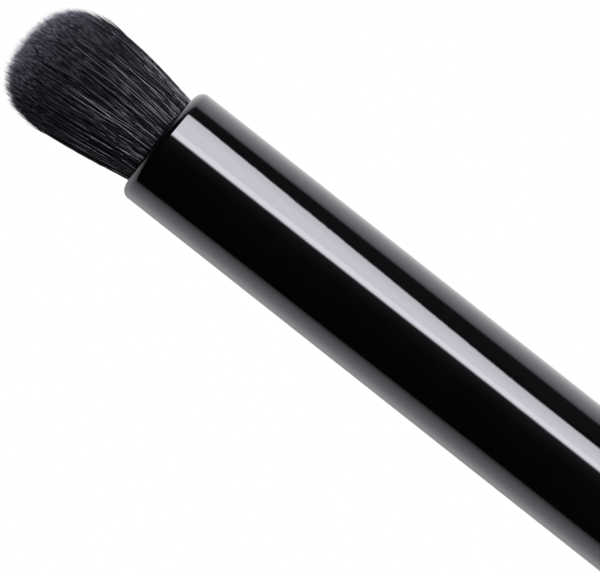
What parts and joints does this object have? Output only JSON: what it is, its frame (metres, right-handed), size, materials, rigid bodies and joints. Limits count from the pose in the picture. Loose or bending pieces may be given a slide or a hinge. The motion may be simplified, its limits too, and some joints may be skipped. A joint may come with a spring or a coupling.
{
  "type": "eyebrow brush",
  "caption": "Straight round gloss black brush with a short, dense, domed tuft of dark filaments, for brow and eye make-up.",
  "frame": {"origin": "centre of the flat tail face that the brush stands on", "axes": "+Z along the brush's axis from the tail to the tip of the tuft, +X to the side that the tuft leans away from, -Y towards the viewer of the picture"},
  "size_m": [0.0091, 0.009, 0.1398],
  "materials": {
    "gloss_black_plastic": "high gloss black lacquer",
    "ferrule_aluminium": "drawn, plain",
    "core_black_plastic": "moulded, matt black",
    "weight_steel": "turned, plain",
    "pad_foam": "closed-cell foam, dark grey",
    "epoxy_amber": "set epoxy, amber",
    "filament_charcoal": "satin synthetic filament, dark charcoal"
  },
  "bodies": {
    "root": {"barrel": "gloss_black_plastic", "tail_cap": "gloss_black_plastic", "ferrule": "ferrule_aluminium", "handle_core": "core_black_plastic", "balance_weight": "weight_steel", "rattle_pad": "pad_foam", "epoxy_plug": "epoxy_amber", "bristle_tuft": "filament_charcoal"}
  },
  "joints": []
}
